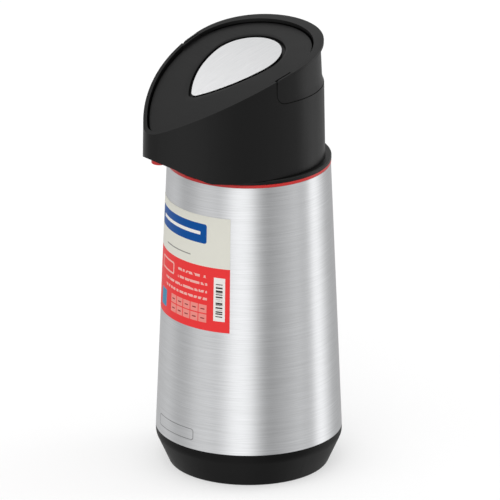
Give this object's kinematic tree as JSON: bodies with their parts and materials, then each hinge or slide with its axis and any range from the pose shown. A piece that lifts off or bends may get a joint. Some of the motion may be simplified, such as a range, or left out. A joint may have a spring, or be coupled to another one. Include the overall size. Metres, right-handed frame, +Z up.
{
  "type": "pump pot",
  "caption": "Tall vacuum jug with a flared foot, a tapered steel body and a beaked pump head with a press plate and a bail handle.",
  "frame": {"origin": "centre of the flat underside of the base, on the axis of the round body", "axes": "+Z up along the body axis, -Y towards the spout, +Y towards the back and the carrying handle, +X to the right seen from the front"},
  "size_m": [0.13, 0.155, 0.3121],
  "materials": {
    "black_plastic": "satin moulded polypropylene",
    "white_plastic": "natural moulded polypropylene",
    "red_plastic": "semi-gloss moulded plastic",
    "label_film": "printed film",
    "brushed_steel": "stainless steel brushed round the body",
    "badge_steel": "stainless steel, fine straight brushing",
    "glass": "clear glass, silvered between the walls",
    "spacer_pad": "pressed fibre",
    "rubber": "moulded silicone rubber",
    "spring_steel": "stainless steel wire and screws"
  },
  "bodies": {
    "jug": {"base_cup": "black_plastic", "bottom_cap": "black_plastic", "refill_cushion": "rubber", "outer_glass": "glass", "inner_glass": "glass", "vacuum_spacers": "spacer_pad", "body_shell": "brushed_steel", "label": "label_film", "trim_ring": "red_plastic", "neck_collar": "black_plastic", "neck_gasket": "rubber"},
    "dip_assembly": {"dip_tube": "white_plastic", "stopper_gasket": "rubber"},
    "pump_head": {"head_housing": "black_plastic", "pump_base": "black_plastic", "thread_ring": "black_plastic", "base_screws": "spring_steel", "valve_body": "white_plastic", "tube_seal": "rubber", "check_ball": "spring_steel", "outlet_pipe": "white_plastic", "spout_nozzle": "red_plastic", "bellows": "rubber", "bellows_spring": "spring_steel", "hinge_pin": "spring_steel"},
    "plunger": {"bellows_cap": "white_plastic", "air_valve": "rubber"},
    "push_plate": {"push_plate": "black_plastic", "badge": "badge_steel"},
    "handle": {"handle": "black_plastic"}
  },
  "joints": [
    {"name": "head_lift", "type": "slide", "parent": "jug", "child": "dip_assembly", "axis": [0, 0, 1], "range_m": [0, 0.25]},
    {"name": "head_turn", "type": "hinge", "parent": "dip_assembly", "child": "pump_head", "pos_m": [0, 0, 0.2], "axis": [0, 0, 1], "range_deg": [0, 120]},
    {"name": "press_plate", "type": "hinge", "parent": "pump_head", "child": "push_plate", "pos_m": [0, -0.07, 0.263], "axis": [-1, 0, 0], "range_deg": [0, 7.5], "stiffness_Nm_per_rad": 4, "springref_deg": -8.59},
    {"name": "plunger_slide", "type": "slide", "parent": "pump_head", "child": "plunger", "axis": [0, 0, -1], "range_m": [0, 0.01166], "deforming": ["bellows", "bellows_spring"]},
    {"name": "handle_swing", "type": "hinge", "parent": "pump_head", "child": "handle", "pos_m": [0, -0.01, 0.2935], "axis": [1, 0, 0], "range_deg": [0, 95]}
  ],
  "couplings": [
    {"joint": "plunger_slide", "follows": "press_plate", "m_per_rad": 0.086}
  ]
}
